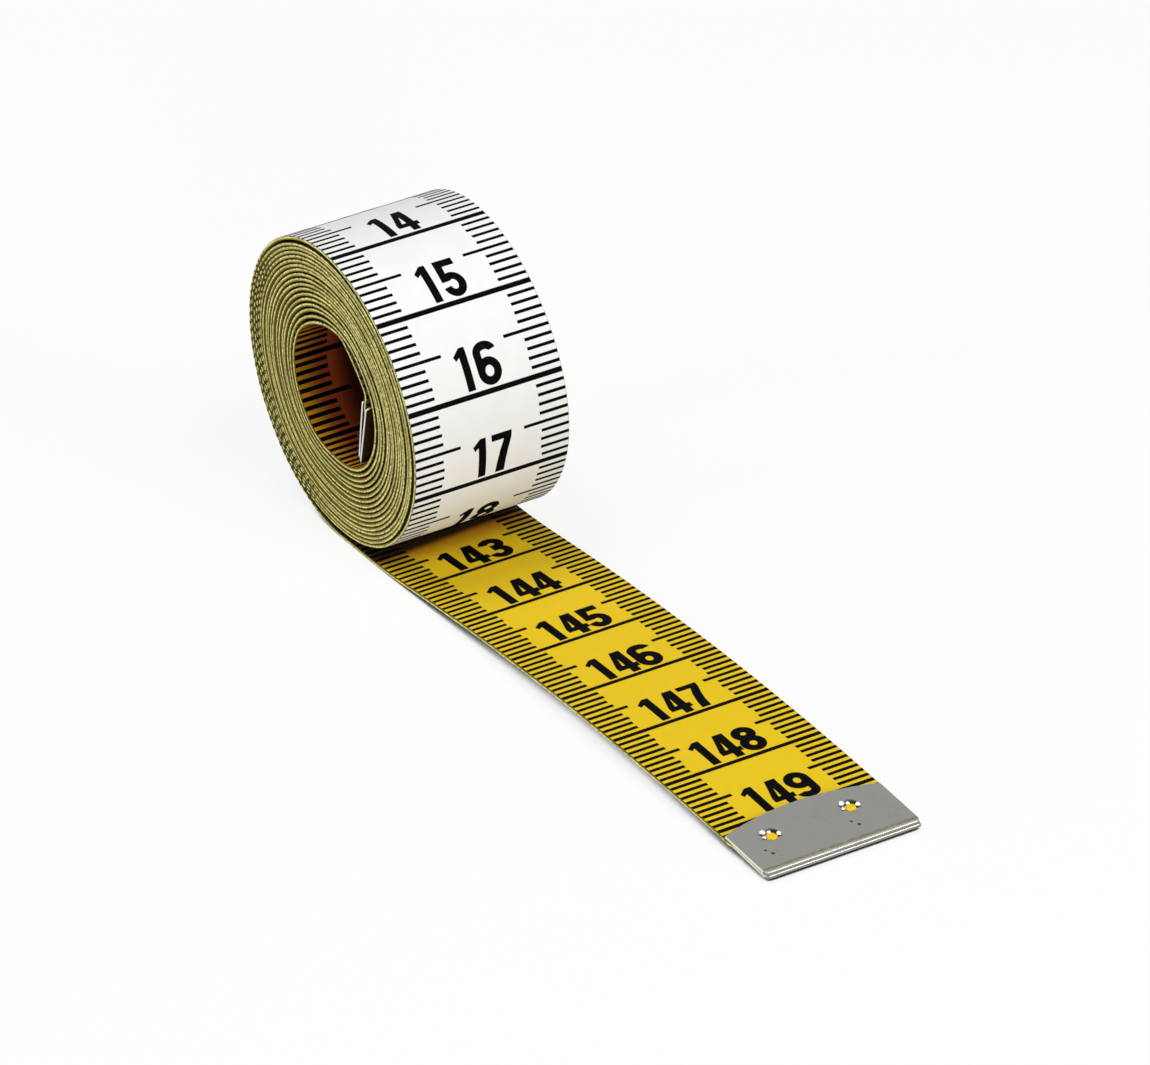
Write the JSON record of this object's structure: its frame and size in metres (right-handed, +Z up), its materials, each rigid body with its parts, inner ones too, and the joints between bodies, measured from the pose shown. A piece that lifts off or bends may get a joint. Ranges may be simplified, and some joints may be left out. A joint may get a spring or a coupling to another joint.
{
  "type": "tape measure",
  "caption": "Flexible tailor's measuring tape wound into a roll that stands on its own outer end, with a folded metal clip over each end.",
  "frame": {"origin": "on the table, under the middle of the whole object", "axes": "+Z up, +X from the roll towards the free tip, Y along the roll's axis; the end face with the better view of the winding is at -Y"},
  "size_m": [0.1026, 0.019, 0.0343],
  "materials": {
    "tape_white": "satin",
    "tape_yellow": "satin",
    "clip_metal": "satin"
  },
  "bodies": {
    "roll": {"tape_roll": "tape_white"},
    "free_1": {"tape_free_1": "tape_yellow"},
    "free_2": {"tape_free_2": "tape_yellow"},
    "free_3": {"tape_free_3": "tape_yellow"},
    "free_4": {"tape_free_4": "tape_yellow"},
    "free_5": {"tape_free_5": "tape_yellow"},
    "free_6": {"tape_free_6": "tape_yellow"},
    "free_7": {"tape_free_7": "tape_yellow", "outer_end_clip": "clip_metal"},
    "inner_end": {"tape_inner_end": "tape_yellow", "inner_end_clip": "clip_metal"}
  },
  "joints": [
    {"name": "tape_bend_1", "type": "hinge", "parent": "roll", "child": "free_1", "pos_m": [-0.0222, 0, 0.00021], "axis": [0, -1, 0], "range_deg": [0, 10]},
    {"name": "tape_bend_2", "type": "hinge", "parent": "free_1", "child": "free_2", "pos_m": [-0.01219, 0, 0.00122], "axis": [0, -1, 0], "range_deg": [0, 10]},
    {"name": "tape_bend_3", "type": "hinge", "parent": "free_2", "child": "free_3", "pos_m": [-0.00219, 0, 0.00193], "axis": [0, -1, 0], "range_deg": [0, 10]},
    {"name": "tape_bend_4", "type": "hinge", "parent": "free_3", "child": "free_4", "pos_m": [0.00782, 0, 0.00233], "axis": [0, -1, 0], "range_deg": [0, 10]},
    {"name": "tape_bend_5", "type": "hinge", "parent": "free_4", "child": "free_5", "pos_m": [0.01783, 0, 0.00243], "axis": [0, -1, 0], "range_deg": [0, 10]},
    {"name": "tape_bend_6", "type": "hinge", "parent": "free_5", "child": "free_6", "pos_m": [0.02783, 0, 0.00223], "axis": [0, -1, 0], "range_deg": [0, 10]},
    {"name": "tape_bend_7", "type": "hinge", "parent": "free_6", "child": "free_7", "pos_m": [0.03784, 0, 0.00172], "axis": [0, -1, 0], "range_deg": [0, 10]},
    {"name": "inner_end_flex", "type": "hinge", "parent": "roll", "child": "inner_end", "pos_m": [-0.03418, 0, 0.02569], "axis": [0, 1, 0], "range_deg": [0, 12], "stiffness_Nm_per_rad": 0.004}
  ],
  "couplings": [
    {"joint": "tape_bend_2", "follows": "tape_bend_1", "ratio": 1},
    {"joint": "tape_bend_3", "follows": "tape_bend_1", "ratio": 1},
    {"joint": "tape_bend_4", "follows": "tape_bend_1", "ratio": 1},
    {"joint": "tape_bend_5", "follows": "tape_bend_1", "ratio": 1},
    {"joint": "tape_bend_6", "follows": "tape_bend_1", "ratio": 1},
    {"joint": "tape_bend_7", "follows": "tape_bend_1", "ratio": 1}
  ]
}
